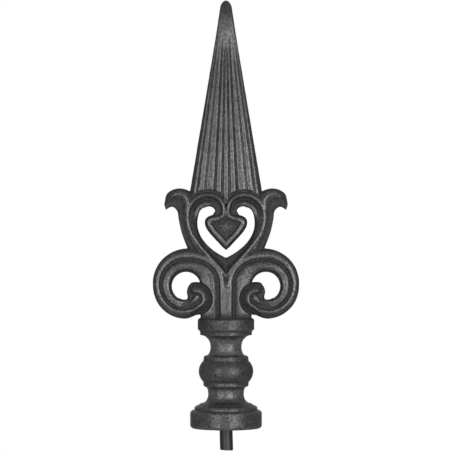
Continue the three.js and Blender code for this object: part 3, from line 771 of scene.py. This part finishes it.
def below_roof(points):
    """How far each point lies under the highest metal near it, which sets where shade and highlight are
    painted.
    """
    reach = round(RECESS_SHADING.reach / RECESS_SHADING.cell)
    place = points[:, [0, 2]] / RECESS_SHADING.cell
    column, row = (place - place.min(axis=0)).astype(int).T + reach
    height = np.where(points[:, 2] > RECESS_SHADING.from_z, np.abs(points[:, 1]), 0)
    roof = np.zeros((column.max() + reach + 1, row.max() + reach + 1))
    np.maximum.at(roof, (column, row), height)
    highest = roof.copy()
    for across in range(-reach, reach + 1):
        for along in range(-reach, reach + 1):
            if across**2 + along**2 <= reach**2:
                highest = np.maximum(highest, np.roll(roof, (across, along), (0, 1)))
    for axis in (0, 1) * RECESS_SHADING.blur_rounds:
        highest = (np.roll(highest, 1, axis) + 2 * highest + np.roll(highest, -1, axis)) / 4
    return np.where(points[:, 2] > RECESS_SHADING.from_z, highest[column, row] - height, 0) / RECESS_SHADING.full


def note(mesh, name, values):
    """Keeps one value at each point, for the finish to read."""
    layer = mesh.attributes.new(name, "FLOAT", "POINT")
    layer.data.foreach_set("value", np.clip(values, -1, 1).astype(np.float32))


def on_blade(points):
    """Which points lie on the blade, above the heart and between the leaves."""
    x, z = np.abs(points[:, 0]), points[:, 2]
    clear = np.hypot(x - HEART.x, z - HEART.z) > HEART.radius + BLADE_SHADING.clear
    between = (x < BLADE_SHADING.between_leaves) | (z > BLADE_SHADING.over_leaves)
    return (z > BLADE.foot) & clear & between


def within(height, zone):
    """The zone's share between its bottom and its top, eased to nothing beyond them."""
    over_bottom = ease(height, zone.bottom - zone.soft, zone.bottom + zone.soft)
    under_top = ease(-height, -zone.top - zone.soft, -zone.top + zone.soft)
    return zone.share * over_bottom * under_top


def lobe_top_shade(points):
    """The share of painted shade over the tops of the heart's lobes."""
    x, z = np.abs(points[:, 0]), points[:, 2]
    reach = np.hypot(x - HEART.x, z - HEART.z)
    near = ease(-reach, -SHADED_LOBE_TOPS.outside, -SHADED_LOBE_TOPS.inside)
    return SHADED_LOBE_TOPS.share * near * ease(z, SHADED_LOBE_TOPS.bottom, SHADED_LOBE_TOPS.full)


def note_relief(mesh, points, edges, normals):
    """Notes how far each point stands out of the metal round it, or lies under it."""
    for reach in RELIEF_REACHES:
        level = drawn_in(points, edges, (RELAX.shrink,) * reach.rounds)
        note(mesh, reach.name, np.sum((points - level) * normals, axis=1) / reach.height)


def note_painted_light(mesh, points):
    """Notes how deep each point lies in a recess, the slim waists, and where colour is painted: shade over
    set bands and the lobes' tops, highlight on raised scrollwork and the necks.
    """
    z = points[:, 2]
    blade_part = on_blade(points)
    recess = np.empty(len(points))
    for part in (blade_part, ~blade_part):
        recess[part] = below_roof(points[part])
    waist = ease(-np.hypot(points[:, 0], points[:, 1]), -WAIST.wide, -WAIST.slim)
    waist = np.where(z < RECESS_SHADING.from_z, waist, 0)
    # Painted shade over the lobes' tops and in set bands by height
    painted_shade = lobe_top_shade(points) + sum(within(z, zone) for zone in SHADE_ZONES)
    # Painted highlight on raised scrollwork away from recesses, and on the necks
    handled = np.where(z > RECESS_SHADING.from_z, RECESS_SHADING.share * (1 - recess), WAIST.share * waist)
    note(mesh, "recess", recess)
    note(mesh, "waist", waist)
    note(mesh, "painted_shade", (1 - waist) * painted_shade)
    note(mesh, "handled", handled)


def skin_swell(point):
    return sum(size * noise.noise(Vector(point) / span) for span, size in SKIN_SWELLS)


def sand_cast(mesh):
    """Rounds the edges as sand does, notes relief and where shade and highlight are painted, and roughens
    the skin a little.
    """
    edges = element_values(mesh.edges, "vertices", 2, np.int64)
    points = element_values(mesh.vertices, "co", 3)
    points = drawn_in(points, edges, (RELAX.shrink, RELAX.grow) * RELAX.rounds)
    mesh.vertices.foreach_set("co", points.ravel())
    mesh.update()
    normals = element_values(mesh.vertices, "normal", 3)
    note_relief(mesh, points, edges, normals)
    note_painted_light(mesh, points)
    swells = np.array([skin_swell(point) for point in points])
    points += normals * swells[:, None]
    mesh.vertices.foreach_set("co", points.ravel())


def casting():
    blank = Blank()
    turning(blank, baluster_profile())
    for shape in (stem, volutes, eyes, rolls, hearts, spade, leaves, blade):
        shape(blank)
    block = fused(blank)
    sand_cast(block.data)
    thin = block.modifiers.new("thin", "DECIMATE")
    block.data.calc_loop_triangles()
    thin.ratio = min(1, TRIANGLE_LIMIT / len(block.data.loop_triangles))
    mesh = modified(block)
    bpy.data.objects.remove(block)
    lowest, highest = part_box("finial_casting")
    points = np.clip(element_values(mesh.vertices, "co", 3) * MM, lowest, highest)
    mesh.vertices.foreach_set("co", points.ravel())
    mesh.update()
    return finished_piece("cast_finial", mesh)


def finished_piece(name, mesh):
    """A smooth-shaded object with this mesh."""
    mesh.polygons.foreach_set("use_smooth", np.ones(len(mesh.polygons), bool))
    mesh.name = name
    piece = bpy.data.objects.new(name, mesh)
    bpy.context.scene.collection.objects.link(piece)
    return piece


def pin():
    blank = Blank()
    bottom, top = -PIN.exposed, PIN.set_in
    end = [(0, bottom), (PIN.radius - PIN.chamfer, bottom), (PIN.radius, bottom + PIN.chamfer)]
    turning(blank, end + [(PIN.radius, top), (0, top)], PIN.lean)
    points = np.vstack(blank.points)
    cut_end = points[:, 2] < 0
    points[cut_end, 2] += PIN.slant * (PIN.radius - points[cut_end, 0])
    points = np.clip(points * MM, *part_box("mounting_pin"))
    mesh = bpy.data.meshes.new("steel_pin")
    mesh.from_pydata(points, [], np.vstack(blank.faces))
    weld(mesh)
    piece = finished_piece("steel_pin", mesh)
    mesh.set_sharp_from_angle(angle=PIN_CREASE)
    return piece


def weld(mesh):
    """Joins the points that lie on each other, such as those of a turning on its axis."""
    shape = bmesh.new()
    shape.from_mesh(mesh)
    bmesh.ops.remove_doubles(shape, verts=shape.verts, dist=PIN_WELD)
    shape.to_mesh(mesh)
    shape.free()


# Finishes

class Field:
    """A number that changes over a surface: the socket that gives it, and sums made with it."""

    def __init__(self, tree, socket):
        self.tree = tree
        self.socket = socket

    def maths(self, operation, first, second):
        node = self.tree.nodes.new("ShaderNodeMath")
        node.operation = operation
        for slot, value in zip(node.inputs, (first, second)):
            feed(self.tree, slot, value)
        return Field(self.tree, node.outputs[0])

    def __add__(self, other):
        return self.maths("ADD", self, other)

    def __sub__(self, other):
        return self.maths("SUBTRACT", self, other)

    def __rsub__(self, other):
        return self.maths("SUBTRACT", other, self)

    def __mul__(self, other):
        return self.maths("MULTIPLY", self, other)

    __radd__ = __add__
    __rmul__ = __mul__


def feed(tree, slot, value):
    if isinstance(value, Field):
        tree.links.new(value.socket, slot)
    else:
        slot.default_value = value


class Nodes:
    """The node tree of a material or the world, built one node at a time."""

    def __init__(self, owner):
        owner.use_nodes = True
        self.tree = owner.node_tree
        self.tree.nodes.clear()

    def node(self, kind, settings=None, sockets=None, output=0):
        made = self.tree.nodes.new(kind)
        for name, value in (settings or {}).items():
            setattr(made, name, value)
        for name, value in (sockets or {}).items():
            feed(self.tree, made.inputs[name], value)
        return Field(self.tree, made.outputs[output]) if made.outputs else made

    def eased(self, value, low, high, start=0.0, end=1.0):
        """Goes from start to end while the value goes from low to high."""
        settings = {"interpolation_type": "SMOOTHSTEP"}
        sockets = {"Value": value, "From Min": low, "From Max": high, "To Min": start, "To Max": end}
        return self.node("ShaderNodeMapRange", settings, sockets)

    def mix(self, share, first, second, how="MIX"):
        settings = {"data_type": "RGBA", "blend_type": how}
        sockets = {MIX_SOCKETS.share: share, MIX_SOCKETS.first: first, MIX_SOCKETS.second: second}
        return self.node("ShaderNodeMix", settings, sockets, MIX_SOCKETS.result)

    def noise(self, place, span, detail):
        """Noise whose features are about one span across."""
        sockets = {"Vector": place, "Scale": 1 / span, "Detail": detail}
        return self.node("ShaderNodeTexNoise", None, sockets)

    def layer(self, name):
        return self.node("ShaderNodeAttribute", {"attribute_name": name}, None, "Fac")

    def place(self):
        return self.node("ShaderNodeTexCoord", None, None, "Object")

    def metal(self, colour, rough, metallic, height, relief):
        """Ends the tree in a metal whose relief follows a height."""
        bump = self.node("ShaderNodeBump", None, {
            "Strength": relief.strength, "Distance": relief.height, "Height": height,
        })
        surface = self.node("ShaderNodeBsdfPrincipled", None, {
            "Base Color": colour, "Roughness": rough, "Metallic": metallic, "Normal": bump,
        })
        self.node("ShaderNodeOutputMaterial", None, {"Surface": surface})


def iron_marks(nodes):
    """The iron's grain and mottle, where it is worn, and where painted highlight and painted shade go:
    lighter on raised faces and necks, darker in recesses, set bands and hollows.
    """
    place = nodes.place()
    grain = nodes.noise(place, IRON_GRAIN.span, FINE_DETAIL)
    crest = nodes.layer("crest") + IRON_WEAR.spread * (grain - NOISE_MIDDLE)
    deep = nodes.eased(nodes.layer("recess"), IRON_RECESS.start, IRON_RECESS.full)
    patches = nodes.noise(place, IRON_PATCH.span, BROAD_DETAIL)
    patch = nodes.eased(patches, IRON_PATCH.low, IRON_PATCH.high, 0, IRON_PATCH.strength)
    return Size(
        grain=grain,
        mottle=nodes.noise(place, IRON_MOTTLE.span, FINE_DETAIL),
        worn=nodes.eased(crest, IRON_WEAR.start, IRON_WEAR.full),
        # painted highlight on raised faces and necks
        handled=nodes.eased(nodes.layer("handled"), IRON_PAINTED_HIGHLIGHT.start, 1),
        # painted shade in recesses and set bands, plus random darker patches
        recess=nodes.eased(deep + patch + nodes.layer("painted_shade"), 0, 1),
        # painted shade in concave hollows
        sunk=nodes.eased(0 - nodes.layer("hollow"), IRON_HOLLOW_SHADE.start, IRON_HOLLOW_SHADE.full),
    )


def iron_colour(nodes, marks):
    body_share = nodes.eased(marks.mottle, IRON_MOTTLE.body_from, IRON_MOTTLE.body_to)
    light_share = nodes.eased(marks.mottle, IRON_MOTTLE.light_from, IRON_MOTTLE.light_to)
    body = nodes.mix(body_share, IRON_DARK, IRON_BODY)
    mottled = nodes.mix(light_share, body, IRON_LIGHT)
    # painted highlight on raised faces and necks
    bright = nodes.mix(marks.handled * IRON_PAINTED_HIGHLIGHT.strength, mottled, IRON_WEAR_AND_HIGHLIGHT)
    rubbed = nodes.mix(marks.worn * IRON_WEAR.strength, bright, IRON_WEAR_AND_HIGHLIGHT)
    # painted shade in recesses and set bands, with random darker patches
    recess_shaded = nodes.mix(marks.recess * IRON_RECESS.strength, rubbed, IRON_SHADE_AND_PATCH)
    # painted shade in concave hollows
    hollow_shaded = nodes.mix(marks.sunk * IRON_HOLLOW_SHADE.strength, recess_shaded, IRON_SHADE_AND_PATCH)
    speckle = nodes.eased(marks.grain, IRON_GRAIN.low, IRON_GRAIN.high, IRON_GRAIN.pit, IRON_GRAIN.peak)
    return nodes.mix(1.0, hollow_shaded, speckle, "MULTIPLY")


def cast_iron():
    """Bare sand-cast iron: fine grain and crests rubbed to brighter metal, with painted shade in hollows
    and recesses and painted highlight on raised faces and necks.
    """
    material = bpy.data.materials.new("cast_iron")
    nodes = Nodes(material)
    marks = iron_marks(nodes)
    rough = nodes.eased(marks.grain, IRON_ROUGH.low, IRON_ROUGH.high, IRON_ROUGH.smooth, IRON_ROUGH.coarse)
    rough = rough + IRON_ROUGH.hollow * marks.recess - IRON_ROUGH.worn * marks.worn
    rough = rough + IRON_ROUGH.waist * nodes.layer("waist")
    metallic = IRON_METALLIC - IRON_HOLLOW_SHADE.cover * marks.sunk
    nodes.metal(iron_colour(nodes, marks), rough, metallic, marks.grain, IRON_GRAIN)
    return material


def pin_steel():
    """Dark drawn rod: faint marks that run along it."""
    material = bpy.data.materials.new("pin_steel")
    nodes = Nodes(material)
    drawn = nodes.node("ShaderNodeMapping", None, {"Vector": nodes.place(), "Scale": STEEL_DRAW})
    marks = nodes.noise(drawn, STEEL_MARK.span, FINE_DETAIL)
    colour = nodes.mix(nodes.eased(marks, STEEL_MARK.low, STEEL_MARK.high), STEEL_DARK, STEEL_LIGHT)
    rough = nodes.eased(marks, STEEL_ROUGH.low, STEEL_ROUGH.high, STEEL_ROUGH.smooth, STEEL_ROUGH.coarse)
    nodes.metal(colour, rough, STEEL_METALLIC, marks, STEEL_MARK)
    return material


# Studio

def softbox(name, size, azimuth, radiance):
    """A rectangular light that faces the middle of the finial from that side."""
    light = bpy.data.lights.new(name, "AREA")
    light.shape = "RECTANGLE"
    light.size = size.width
    light.size_y = size.height
    light.energy = radiance * size.width * size.height * math.pi
    box = bpy.data.objects.new(name, light)
    box.visible_camera = False
    side = math.radians(azimuth)
    back = Vector((math.sin(side), -math.cos(side), 0))
    box.location = STUDIO_CENTRE + size.distance * back
    box.rotation_euler = back.to_track_quat("Z", "Y").to_euler()
    bpy.context.scene.collection.objects.link(box)


def white_surround():
    """White where the camera looks past the finial, and elsewhere a dim light from above and below."""
    world = bpy.data.worlds.new("surround")
    bpy.context.scene.world = world
    nodes = Nodes(world)
    seen = nodes.node("ShaderNodeLightPath", None, None, "Is Camera Ray")
    way = nodes.node("ShaderNodeTexCoord", None, None, "Generated")
    rise = nodes.node("ShaderNodeSeparateXYZ", None, {"Vector": way}, "Z")
    dim = AMBIENT.level + AMBIENT.poles * rise * rise
    strength = dim + (1 - dim) * seen
    white = nodes.node("ShaderNodeBackground", None, {"Color": WHITE, "Strength": strength})
    nodes.node("ShaderNodeOutputWorld", None, {"Surface": white})


def pale_floor():
    """A shadowless white floor just below the end of the pin."""
    half = FLOOR.half_width
    mesh = bpy.data.meshes.new("floor")
    corners = [(x * half, y * half, FLOOR.z) for x, y in ((-1, -1), (1, -1), (1, 1), (-1, 1))]
    mesh.from_pydata(corners, [], [(0, 1, 2, 3)])
    floor = bpy.data.objects.new("floor", mesh)
    floor.visible_diffuse = False
    floor.visible_glossy = False
    floor.visible_shadow = False
    material = bpy.data.materials.new("floor")
    nodes = Nodes(material)
    glow = nodes.node("ShaderNodeEmission", None, {"Color": WHITE, "Strength": 1.0})
    nodes.node("ShaderNodeOutputMaterial", None, {"Surface": glow})
    mesh.materials.append(material)
    bpy.context.scene.collection.objects.link(floor)


def photo_camera():
    camera = bpy.data.objects.new("camera", bpy.data.cameras.new("camera"))
    camera.data.lens = camera.data.sensor_width * VIEW.distance / VIEW.width
    camera.location = (0, -VIEW.distance, VIEW.height)
    camera.rotation_euler = (VIEW.tilt, 0, 0)
    bpy.context.scene.collection.objects.link(camera)
    bpy.context.scene.camera = camera


# Finial

cast_finial = casting()
cast_finial.data.materials.append(cast_iron())
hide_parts("finial_casting")
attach(cast_finial, "root")

steel_pin = pin()
steel_pin.data.materials.append(pin_steel())
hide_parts("mounting_pin")
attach(steel_pin, "root")

photo_camera()
pale_floor()
white_surround()
for box in SOFTBOXES:
    softbox(*box)
bpy.context.scene.view_settings.view_transform = "Standard"
